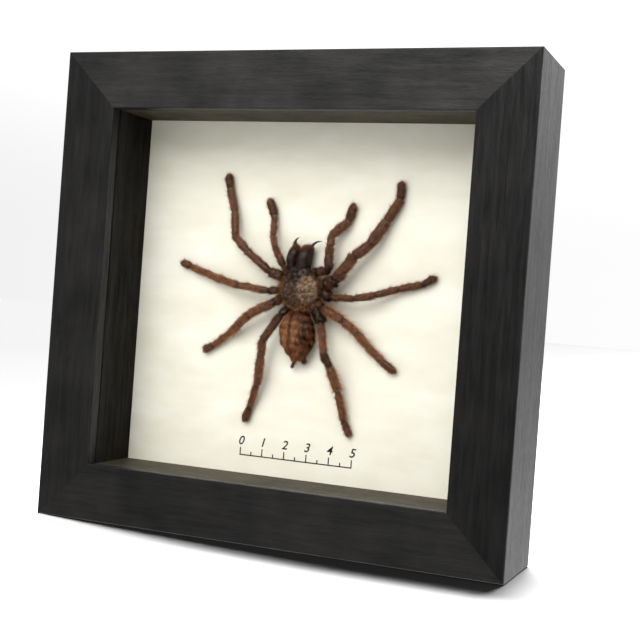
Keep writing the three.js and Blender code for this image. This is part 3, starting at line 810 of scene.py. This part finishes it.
def abdomen():
    """A turned body that lies along the card, flattened towards it."""
    lean = math.radians(ABDOMEN["tilt"])
    top = on_card(ABDOMEN["x"], ABDOMEN["top"], ABDOMEN["height"])
    run = np.array([math.sin(lean), 0, -math.cos(lean)]) * ABDOMEN["length"] * MM
    shares = (1 - np.cos(np.linspace(0, math.pi, 46))) / 2
    widths = np.interp(shares, *zip(*ABDOMEN_WIDTHS))
    piece = tube("abdomen_skin", top + run * shares[:, None], widths * ABDOMEN["radius"] * MM, 40)
    places = points_of(piece.data)
    places[:, 1] = top[1] + (places[:, 1] - top[1]) * ABDOMEN["flatness"]
    set_points(piece.data, places)
    apply_modifier(piece, "SUBSURF", levels=1, render_levels=1)
    wrinkle(piece, "abdomen", 41)
    dark, gold = abdomen_marks(points_of(piece.data))
    coat_attribute(piece.data, dark * 0.8, gold)
    return put_on(piece, abdomen_skin, "abdomen_skin", "abdomen")


def along_jaw(side, places):
    """How far along a jaw each place is, from the head (0) to the fang (1)."""
    base, tip = CHELICERAE[side][0][0], CHELICERAE[side][-1][0]
    return (x_and_z(places)[1] - base) / (tip - base)


def chelicera(side):
    """A jaw lofted to its own outline, a little deeper than it is wide, and blunt at the fang."""
    name = f"chelicera_{side}"
    z_rows, left_rows, right_rows = np.array(CHELICERAE[side]).T
    z = np.linspace(z_rows[0], z_rows[-1], 44)
    left = np.interp(z, z_rows, left_rows)
    right = np.interp(z, z_rows, right_rows)
    places = np.array([on_card(*place, CHELICERA_HEIGHT) for place in zip((left + right) / 2, z)])
    piece = tube(f"{name}_skin", places, (right - left) / 2 * MM, sides=28)
    apply_modifier(piece, "SMOOTH", factor=0.5, iterations=3)
    places = points_of(piece.data)
    axis = (CARD_FACE - CHELICERA_HEIGHT) * MM
    share = along_jaw(side, places)
    fall = sum(depth * smooth_step(start, end, share) for depth, start, end in CHELICERA_FALLS)
    places[:, 1] = axis + (places[:, 1] - axis) * CHELICERA_THICKNESS + fall * MM
    set_points(piece.data, places)
    apply_modifier(piece, "SUBSURF", levels=1, render_levels=1)
    wrinkle(piece, "jaw", 51 + len(side))
    coat_attribute(piece.data, 0.2)
    return put_on(piece, jaw_skin, "dark_cuticle", name)


def eyes():
    """Eight small eyes in two rows on their mound. The front middle pair is the largest."""
    beads = []
    for z_shift, row in EYE_ROWS.items():
        for x_shift in row:
            radius = 0.24 if abs(x_shift) < 0.3 else 0.17
            lift = 0.28 - 0.25 * abs(x_shift)
            beads.append(ball({"x": EYES["x"] + x_shift, "z": EYES["z"] + z_shift,
                               "height": EYES["height"] + lift, "half_width": radius,
                               "half_thickness": 0.8 * radius, "half_length": radius}, 16, 8))
    piece = joined(beads)
    piece.name = "eyes"
    bpy.ops.object.shade_smooth()
    return put_on(piece, black_horn, "fang_horn")


prosoma_skin = prosoma()
abdomen_piece = abdomen()
jaws = {side: chelicera(side) for side in CHELICERAE}
eyes()
limb_skins = {name: limb_skin(name, limb, 100 + 7 * i) for i, (name, limb) in enumerate(LIMBS.items())}
spinnerets = {name: horn(name, limb, SPINNERET_WIDTHS, leg_skin, "cuticle", False)
              for name, limb in SPINNERETS.items()}
for name, limb in FANGS.items():
    horn(name, limb, FANG_TAPER, black_horn, "fang_horn", True)

# ---------------------------------------------------------------------------
# Spider: hair


def scattered(mesh, count, rng):
    """Random places on a mesh with their normals, evenly over its area."""
    mesh.calc_loop_triangles()
    corners = np.empty(len(mesh.loop_triangles) * 3, np.int32)
    mesh.loop_triangles.foreach_get("vertices", corners)
    a, b, c = points_of(mesh)[corners.reshape(-1, 3)].transpose(1, 0, 2)
    across = np.cross(b - a, c - a)
    area = np.linalg.norm(across, axis=1)
    chosen = rng.choice(len(area), count, p=area / area.sum())
    s, t = rng.random((2, count))
    flip = s + t > 1
    s[flip], t[flip] = 1 - s[flip], 1 - t[flip]
    a, b, c = a[chosen], b[chosen], c[chosen]
    return a + (b - a) * s[:, None] + (c - a) * t[:, None], unit(across[chosen])


def area_of(mesh):
    return sum(face.area for face in mesh.polygons) / MM**2


def hairs(roots, directions, lengths, width, droop, rng):
    """Points and faces of many three-sided tapered hairs. A droop bends the outer half towards it."""
    count = len(roots)
    side = unit(np.cross(directions, unit(rng.normal(size=(count, 3)))))
    other = np.cross(directions, side)
    turns = np.arange(3) * math.tau / 3
    spread = side[:, None] * np.cos(turns)[None, :, None] + other[:, None] * np.sin(turns)[None, :, None]
    base = roots[:, None] + spread * width
    if droop is None:
        tip = roots + directions * lengths[:, None]
        points = np.concatenate([base, tip[:, None]], axis=1)
        pattern = [[0, 1, 3], [1, 2, 3], [2, 0, 3], [2, 1, 0]]
        along = np.array([0, 0, 0, 1.0])
    else:
        middle = roots + directions * (lengths * 0.5)[:, None]
        bent = unit(directions + droop)
        tip = middle + bent * (lengths * 0.5)[:, None]
        ring = middle[:, None] + spread * (width * 0.62)
        points = np.concatenate([base, ring, tip[:, None]], axis=1)
        pattern = [[0, 1, 4], [0, 4, 3], [1, 2, 5], [1, 5, 4], [2, 0, 3], [2, 3, 5],
                   [3, 4, 6], [4, 5, 6], [5, 3, 6], [2, 1, 0]]
        along = np.array([0, 0, 0, 0.5, 0.5, 0.5, 1])
    size = points.shape[1]
    faces = np.array(pattern)[None] + (np.arange(count) * size)[:, None, None]
    return points.reshape(-1, 3), faces.reshape(-1, 3), np.tile(along, count), size


def hair_piece(name, tufts, material, slot):
    """Joins several kinds of hair into one piece. Each tuft is what hairs() takes and its shades."""
    points, faces, shades, start = [], [], [], 0
    for (places, triangles, along, size), (tone, dark, gold) in tufts:
        # No hair goes into the card: those that reach it lie along it.
        places[:, 1] = np.minimum(places[:, 1], (CARD_FACE - 0.04) * MM)
        points.append(places)
        faces.append(triangles + start)
        shades.append(np.stack([*(np.repeat(part, size) for part in (dark, gold, tone)), along]))
        start += len(places)
    points, faces = np.concatenate(points), np.concatenate(faces)
    mesh = bpy.data.meshes.new(name)
    mesh.vertices.add(len(points))
    mesh.vertices.foreach_set("co", points.ravel())
    mesh.loops.add(faces.size)
    mesh.loops.foreach_set("vertex_index", faces.ravel())
    mesh.polygons.add(len(faces))
    mesh.polygons.foreach_set("loop_start", np.arange(len(faces)) * 3)
    mesh.update(calc_edges=True)
    mesh.validate()
    mesh.shade_smooth()
    coat_attribute(mesh, *np.concatenate(shades, axis=1))
    piece = bpy.data.objects.new(name, mesh)
    bpy.context.scene.collection.objects.link(piece)
    return put_on(piece, material, slot)


def leaning(normals, along, lift, spread, loose, rng):
    """Directions that stand off the skin by lift degrees, give or take the spread, and lean along
    it. Loose is how far they stray sideways."""
    angle = np.radians(lift + rng.normal(scale=spread, size=len(normals)))[:, None]
    flat = along - normals * (along * normals).sum(1, keepdims=True)
    flat = unit(flat + rng.normal(scale=loose, size=flat.shape))
    return unit(flat * np.cos(angle) + normals * np.sin(angle))


def mottled(places, rng, tone, seed):
    """Random tones in a range, that also differ from one lock of hair to the next."""
    low, high = tone
    locks = 0.4 * ripple(places, 1.0, seed) + 0.3 * ripple(places, 2.2, seed + 50)
    shares = np.clip(rng.uniform(0.3, 0.7, len(places)) + locks, 0, 1)
    return low + (high - low) * shares


# The hair on the limbs: how many to a square millimetre, the length, the thickness at the root and
# the lift in degrees. Droop bends them over half way. A fringe's number and length are in COATS.
LIMB_HAIR = {
    "under_fur": {"density": 13, "length": 1.0, "width": 0.045, "lift": 20},
    "guard_hair": {"density": 2.6, "length": 1.9, "width": 0.05, "lift": 36, "droop": True,
                   "tone": (0.3, 1), "loose": 0.35},
    "foot_pad": {"density": 8, "length": 0.6, "width": 0.04, "lift": 62, "tone": (0, 0.7)},
    # Hairs that cling together are drawn as one, 0.08 mm thick at the root.
    "fringe": {"width": 0.038, "lift": 46, "droop": True, "tone": (0.6, 1), "extra_gold": 0.4,
               "loose": 0.4},
}
TRIED_PER_FRINGE_HAIR = 15  # because most places tried lie on other segments and sides


def limb_hair(name, skin, path, seed, gold, fringes):
    """Fur along a limb: a close under-fur, longer guard hairs, a dense pad under the foot, and
    long fringes on the segments and sides that have them."""
    rng = np.random.default_rng(seed)
    mesh = skin.data
    area = area_of(mesh)
    tufts = []

    def tuft(length, width, lift, density=0, tried=0, keep=None, droop=False, tone=(0, 1),
             extra_gold=0.0, loose=0.2):
        count = int(area * density) + tried
        roots, normals = scattered(mesh, count, rng)
        station = nearest_station(path, roots)
        chosen = np.ones(count, bool) if keep is None else keep(station, normals)
        bare = path["joint"][station] < 0.16
        chosen &= ~bare | (rng.random(count) < 0.25)
        roots, normals, station = roots[chosen], normals[chosen], station[chosen]
        count = len(roots)
        along = path["along"][station]
        clump = ripple(roots, 1.2, seed + 5)
        directions = leaning(normals, along, lift + 12 * clump, 7, loose, rng)
        lengths = length * MM * rng.uniform(0.6, 1.25, count) * (1 + 0.25 * clump)
        bend = along * 0.9 if droop else None
        shade = np.clip(limb_shade(path, station) + 0.15 * ripple(roots, 2.6, seed + 6), 0, 0.92)
        tones = mottled(roots, rng, tone, seed + 7)
        golds = np.clip(gold + extra_gold + rng.normal(scale=0.1, size=count), 0, 1)
        golds *= 1 - 0.8 * shade
        tufts.append((hairs(roots, directions, lengths, width * MM, bend, rng), (tones, shade, golds)))

    last = path["count"] - 1
    tuft(**LIMB_HAIR["under_fur"])
    tuft(**LIMB_HAIR["guard_hair"])
    tuft(**LIMB_HAIR["foot_pad"], keep=lambda station, normals: path["segment"][station] >= last)
    for segment, side, number, length in fringes:
        towards = unit(np.array([math.cos(math.radians(side)), 0, math.sin(math.radians(side))]))

        def on_side(station, normals, segment=segment, towards=towards):
            return (path["segment"][station] == segment) & (normals @ towards > 0.55)

        tuft(**LIMB_HAIR["fringe"], length=length, tried=number * TRIED_PER_FRINGE_HAIR, keep=on_side)
    return hair_piece(f"{name}_hair", tufts, leg_hair, "cuticle")


# How golden each limb is, and its fringes: [segment, bearing of the side, hairs, length]. Segment 0
# is the hip, 2 the thigh, 3 the knee, and the last one the foot.
COATS = {
    "leg_left_1": (0.05, [[4, 190, 30, 1.8], [2, 230, 30, 1.8]]),
    "leg_left_2": (0.32, [[4, 80, 40, 1.8], [5, 80, 30, 1.6]]),
    "leg_left_3": (0.32, [[4, 300, 90, 2.6], [5, 300, 60, 2.2], [5, 130, 40, 1.8]]),
    "leg_left_4": (0.08, [[4, 350, 110, 2.8], [5, 340, 80, 2.4], [4, 190, 40, 1.8]]),
    "leg_right_1": (0.03, [[2, 320, 120, 2.6], [3, 320, 60, 2.2], [4, 330, 60, 2.0]]),
    "leg_right_2": (0.05, [[4, 110, 60, 2.0], [5, 105, 50, 1.8]]),
    "leg_right_3": (0.45, [[2, 60, 140, 3.2], [3, 50, 120, 3.2], [4, 40, 110, 3.2], [5, 50, 80, 2.6],
                           [4, 220, 70, 2.6], [3, 230, 60, 2.4], [5, 230, 60, 2.2]]),
    "leg_right_4": (0.3, [[2, 20, 90, 2.4], [4, 15, 150, 3.2], [5, 10, 140, 3.2], [4, 195, 100, 2.6],
                          [5, 190, 80, 2.4]]),
    "palp_left": (0.12, [[3, 180, 30, 1.4]]),
    "palp_right": (0.08, [[3, 320, 40, 1.8]]),
}


# The hair on the body, in layers: how many are tried, the length, the lift in degrees, and whether
# it droops. Then on the carapace how golden, what range of tones, how dark and where, by the share
# of the way to the rim, the z and a random draw, and on a jaw how golden and how far from the head.
CARAPACE_HAIR = [
    [9000, 1.1, 16, False, 0.05, (0, 1), 0.35, lambda rim, z, draw: (z < 9) | (draw < 0.5)],
    [9000, 1.9, 28, True, 0.6, (0.4, 1), -0.2, lambda rim, z, draw: (rim > 0.8) & (z < 9.5) & (draw < 0.6)],
    [4000, 1.6, 26, True, 0.3, (0.4, 1), 0.1, lambda rim, z, draw: (rim > 0.5) & (z < 9) & (draw < 0.3)],
]
ABDOMEN_HAIR = [[28000, 1.0, 11, False], [1800, 1.9, 30, True]]
JAW_HAIR = [[3200, 0.8, 14, False, 0.0, -1], [3000, 1.5, 30, True, 0.45, 0.78]]
CARAPACE_HAIR_WIDTH = 0.045
ABDOMEN_HAIR_WIDTHS = {False: 0.04, True: 0.035}  # by droop
JAW_HAIR_WIDTH = 0.042


def in_oval(x, z, oval):
    """How far out places lie in an oval: 0 in its middle and 1 on its edge."""
    return np.hypot((x - oval["x"]) / oval["half_width"], (z - oval["z"]) / oval["half_length"])


def prosoma_hair():
    """Dark hairs that radiate from the pit, a golden fringe round the rim, and none on the patch."""
    rng = np.random.default_rng(301)
    fovea = on_card(*FOVEA, CARAPACE["height"])
    tufts = []
    for count, length, lift, droop, golden, tone, shade, zone in CARAPACE_HAIR:
        roots, normals = scattered(prosoma_skin.data, count, rng)
        x, z = x_and_z(roots)
        off_patch = in_oval(x, z, BALD_PATCH) + 0.08 * ripple(roots, 1.2, 77) > 0.95
        chosen = zone(in_oval(x, z, CARAPACE), z, rng.random(count)) & off_patch
        roots, normals, z = roots[chosen], normals[chosen], z[chosen]
        outwards = unit((roots - fovea) * (1, 0, 1))
        directions = leaning(normals, outwards, lift, 8, 0.35, rng)
        lengths = length * MM * rng.uniform(0.6, 1.3, len(roots))
        bend = outwards * 0.6 + (0, 0.5, 0) if droop else None
        # The head's hair is dark in its own colour, and the hair near the waist darker as painted shade,
        # where the two halves of the body meet.
        ends = 0.55 * smooth_step(6, 9, z) + 0.5 * smooth_step(-3, -5, z)
        dark = np.clip(shade + ends + 0.5 * ripple(roots, 1.5, 78), 0, 0.9)
        gold = np.clip(golden + rng.normal(scale=0.2, size=len(roots)), 0, 1)
        shape = hairs(roots, directions, lengths, CARAPACE_HAIR_WIDTH * MM, bend, rng)
        tufts.append((shape, (mottled(roots, rng, tone, 79), dark, gold)))
    return hair_piece("prosoma_hair", tufts, body_hair, "dark_cuticle")


def abdomen_fur():
    """Short fur that lies towards the tail, and longer hair that stands out along the sides."""
    rng = np.random.default_rng(302)
    tail = np.array([0.05, 0, -1.0])
    tufts = []
    for count, length, lift, droop in ABDOMEN_HAIR:
        roots, normals = scattered(abdomen_piece.data, count, rng)
        directions = leaning(normals, tail, lift, 6, 0.25, rng)
        dark, gold = abdomen_marks(roots)
        gold = np.clip(gold + rng.normal(scale=0.08, size=count), 0, 1) * (0.5 if droop else 1)
        lengths = length * MM * rng.uniform(0.6, 1.25, count)
        bend = tail * 0.8 if droop else None
        shape = hairs(roots, directions, lengths, ABDOMEN_HAIR_WIDTHS[droop] * MM, bend, rng)
        tufts.append((shape, (mottled(roots * (1, 1, 0.25), rng, (0.3, 0.95), 75), dark, gold)))
    return hair_piece("abdomen_hair", tufts, abdomen_hair, "abdomen_skin")


def jaw_fur(side):
    """A thin cover of short dark hair, and a red-brown brush over the mouth end."""
    rng = np.random.default_rng(310 + len(side))
    up = np.array([0.0, 0, 1])
    tufts = []
    for count, length, lift, droop, golden, low in JAW_HAIR:
        roots, normals = scattered(jaws[side].data, count, rng)
        share = along_jaw(side, roots)
        chosen = share + rng.normal(scale=0.04, size=count) > low
        roots, normals, share = roots[chosen], normals[chosen], share[chosen]
        directions = leaning(normals, up, lift, 8, 0.3, rng)
        lengths = length * MM * rng.uniform(0.6, 1.3, len(roots))
        bend = up * 0.7 if droop else None
        gold = golden * smooth_step(0.7, 1, share) + rng.normal(scale=0.1, size=len(roots))
        shape = hairs(roots, directions, lengths, JAW_HAIR_WIDTH * MM, bend, rng)
        dark = 0.5 * smooth_step(0.8, 0.6, share)
        tufts.append((shape, (mottled(roots, rng, (0, 1), 81), dark, np.clip(gold, 0, 1))))
    return hair_piece(f"chelicera_{side}_hair", tufts, jaw_hair, "dark_cuticle")


for i, (name, (skin, path)) in enumerate(limb_skins.items()):
    gold, fringes = COATS[name]
    limb_hair(name, skin, path, 200 + i, gold, fringes)
for name, (skin, path) in spinnerets.items():
    limb_hair(name, skin, path, 250 + len(name), 0.1, [])
prosoma_hair()
abdomen_fur()
for side in jaws:
    jaw_fur(side)

# ---------------------------------------------------------------------------
# Setting: pale floor, soft studio light and the camera

VIEW_AZIMUTH, VIEW_ELEVATION, VIEW_ROLL = 21.83, 0.54, 4.2  # degrees
VIEW_TARGET = Vector((12.98, 0, 89.78))
VIEW_DISTANCE = 487.5
LENS = 68.23  # on a sensor 36 mm wide

# The lamps: the way to each, its strength, its width in degrees, and its colour.
LAMPS = {
    "soft_box": [(0.0, -0.83, 0.56), 1.75, 40, (1.0, 0.985, 0.985)],
    "window": [(-0.34, -0.88, 0.34), 1.65, 60, (1.0, 0.985, 0.985)],
    "side_box": [(0.95, 0.3, 0.1), 1.2, 40, (1.0, 1.0, 1.0)],
}
# These two light the floor alone, so that the frame's shadow on it is narrow and dark.
FLOOR_LAMPS = {
    "top_lamp": [(-0.022, 0.142, 1.0), 205.0, 6.5, (1.0, 1.0, 1.0)],
    "side_lamp": [(-0.75, 0.15, 1.0), 220.0, 8, (1.0, 1.0, 1.0)],
}
FLOOR_GLOW = 0.95  # what the matt surfaces get back from the floor

# The room's brightness, by how nearly a direction is that of the dark screen beside the camera,
# which is what the pane mirrors: from straight away from the screen (0) to straight at it (1).
SCREEN_TOWARDS = (-0.36, -0.93, 0.0)
ROOM = [(0.0, 1.7), (0.45, 1.2), (0.7, 0.5), (0.86, 0.3), (0.94, 0.11)]
BACKDROP_BAND = {"rise": 0.02, "inner": 0.03, "outer_ahead": 0.42, "outer_beside": 0.17, "ahead": 0.592,
                 "beside": 0.38}
FLOOR_SLOPE = 0.1  # degrees, as the paper sags a little to the right
FLOOR_WIDTH = 12  # metres


def place_camera():
    azimuth, elevation, roll = (math.radians(a) for a in (VIEW_AZIMUTH, VIEW_ELEVATION, VIEW_ROLL))
    back = Vector((math.sin(azimuth) * math.cos(elevation), -math.cos(azimuth) * math.cos(elevation),
                   math.sin(elevation)))
    right = Vector((math.cos(azimuth), math.sin(azimuth), 0))
    up = back.cross(right)
    across = right * math.cos(roll) + up * math.sin(roll)
    upright = up * math.cos(roll) - right * math.sin(roll)
    data = bpy.data.cameras.new("camera")
    data.lens = LENS
    data.clip_start = 0.01
    camera = bpy.data.objects.new("camera", data)
    bpy.context.scene.collection.objects.link(camera)
    turn = Matrix((across, upright, back)).transposed().to_4x4()
    camera.matrix_world = Matrix.Translation((VIEW_TARGET + back * VIEW_DISTANCE) * MM) @ turn
    bpy.context.scene.camera = camera


def light_scene(floor):
    floor_only = bpy.data.collections.new("floor_only")
    floor_only.objects.link(floor)
    for name, (towards, strength, width, colour) in (LAMPS | FLOOR_LAMPS).items():
        lamp = bpy.data.lights.new(name, "SUN")
        lamp.energy = strength
        lamp.angle = math.radians(width)
        lamp.color = colour
        holder = bpy.data.objects.new(name, lamp)
        holder.rotation_euler = Vector(towards).to_track_quat("Z", "Y").to_euler()
        # The pane would mirror the window, which stands beside the camera.
        holder.visible_glossy = name != "window"
        holder.visible_transmission = name != "window"
        if name in FLOOR_LAMPS:
            holder.light_linking.receiver_collection = floor_only
        bpy.context.scene.collection.objects.link(holder)
    room = bpy.data.worlds.new("studio")
    room.use_nodes = True
    bpy.context.scene.world = room
    direction = add(room, "TexCoord")
    turn = add(room, "VectorMath", {"operation": "DOT_PRODUCT"}, {0: direction, 1: SCREEN_TOWARDS}, "Value")
    place = add(room, "Math", {"operation": "MULTIPLY_ADD"}, {0: turn, 1: 0.5, 2: 0.5})
    level = add(room, "FloatCurve", inputs={"Value": place})
    curve = room.node_tree.nodes["Float Curve"].mapping
    for at, value in ROOM[1:-1]:
        curve.curves[0].points.new(at, value / ROOM[0][1])
    curve.curves[0].points[0].location = (0, 1)
    curve.curves[0].points[-1].location = (ROOM[-1][0], ROOM[-1][1] / ROOM[0][1])
    curve.update()
    # The backdrop is dimmer in a band over the horizon, where it turns down to the floor, and
    # more so to the right of the frame, where it ends.
    rise = add(room, "SeparateXYZ", inputs={0: direction}, output="Z")
    aside = add(room, "SeparateXYZ", inputs={0: direction}, output="X")
    behind = add(room, "SeparateXYZ", inputs={0: direction}, output="Y")
    in_front = add(room, "MapRange", inputs={"Value": behind, "From Min": 0.3, "From Max": -0.1})
    offset = add(room, "Math", {"operation": "SUBTRACT"}, {0: rise, 1: BACKDROP_BAND["rise"]})
    height = add(room, "Math", {"operation": "ABSOLUTE"}, {0: offset})
    away = add(room, "Math", {"operation": "ADD"}, {0: height, 1: in_front})
    dimmest = add(room, "MapRange", {"interpolation_type": "SMOOTHSTEP"}, {
        "Value": aside, "From Min": 0.0, "From Max": 0.25,
        "To Min": ROOM[0][1] * BACKDROP_BAND["ahead"], "To Max": ROOM[0][1] * BACKDROP_BAND["beside"]})
    outer = add(room, "MapRange", inputs={
        "Value": aside, "From Min": 0.0, "From Max": 0.25,
        "To Min": BACKDROP_BAND["outer_ahead"], "To Max": BACKDROP_BAND["outer_beside"]})
    band = add(room, "MapRange", {"interpolation_type": "SMOOTHSTEP"}, {
        "Value": away, "From Min": BACKDROP_BAND["inner"], "From Max": outer,
        "To Min": dimmest, "To Max": ROOM[0][1]})
    backdrop = add(room, "Math", {"operation": "MULTIPLY"}, {0: level, 1: band})
    below = add(room, "MapRange", inputs={"Value": rise, "From Min": 0.0, "From Max": -0.05})
    matt_ray = add(room, "LightPath", output="Is Diffuse Ray")
    from_floor = add(room, "Math", {"operation": "MULTIPLY"}, {0: below, 1: matt_ray})
    strength = add(room, "Mix", {"data_type": "FLOAT"}, {0: from_floor, 2: backdrop, 3: FLOOR_GLOW}, 0)
    connect(room, room.node_tree.nodes["Background"], {"Color": (1, 1, 1, 1), "Strength": strength})


def lay_floor():
    slope = math.radians(FLOOR_SLOPE)
    drop = math.tan(slope) * cad_box[1].x + 0.05 * MM
    bpy.ops.mesh.primitive_plane_add(size=FLOOR_WIDTH, location=(0, 0, -drop), rotation=(0, slope, 0))
    floor = bpy.context.object
    floor.name = "floor"
    # The paper is pale under these strong lamps, and its paint dark so that the shadow is too. Its paint
    # is a little darker out to the sides, up to a metre away, as painted shade where a studio's lamps don't
    # reach it.
    paint = new_material("pale_paper_sweep", Roughness=0.9, Specular_IOR_Level=0.0)
    place = add(paint, "TexCoord", output="Object")
    sideways = add(paint, "SeparateXYZ", inputs={0: place}, output="X")
    distance = add(paint, "Math", {"operation": "ABSOLUTE"}, {0: sideways})
    colour = add(paint, "ValToRGB", {"stops": [(0.2, "#242424"), (0.38, "#171717"), (0.55, "#161616"),
                                               (0.95, "#151515")]}, {"Fac": distance})
    set_surface(paint, Base_Color=colour)
    floor.data.materials.append(paint)
    floor.visible_diffuse = False
    floor.visible_glossy = False
    floor.visible_transmission = False
    return floor


place_camera()
light_scene(lay_floor())
bpy.context.scene.view_settings.view_transform = "Standard"
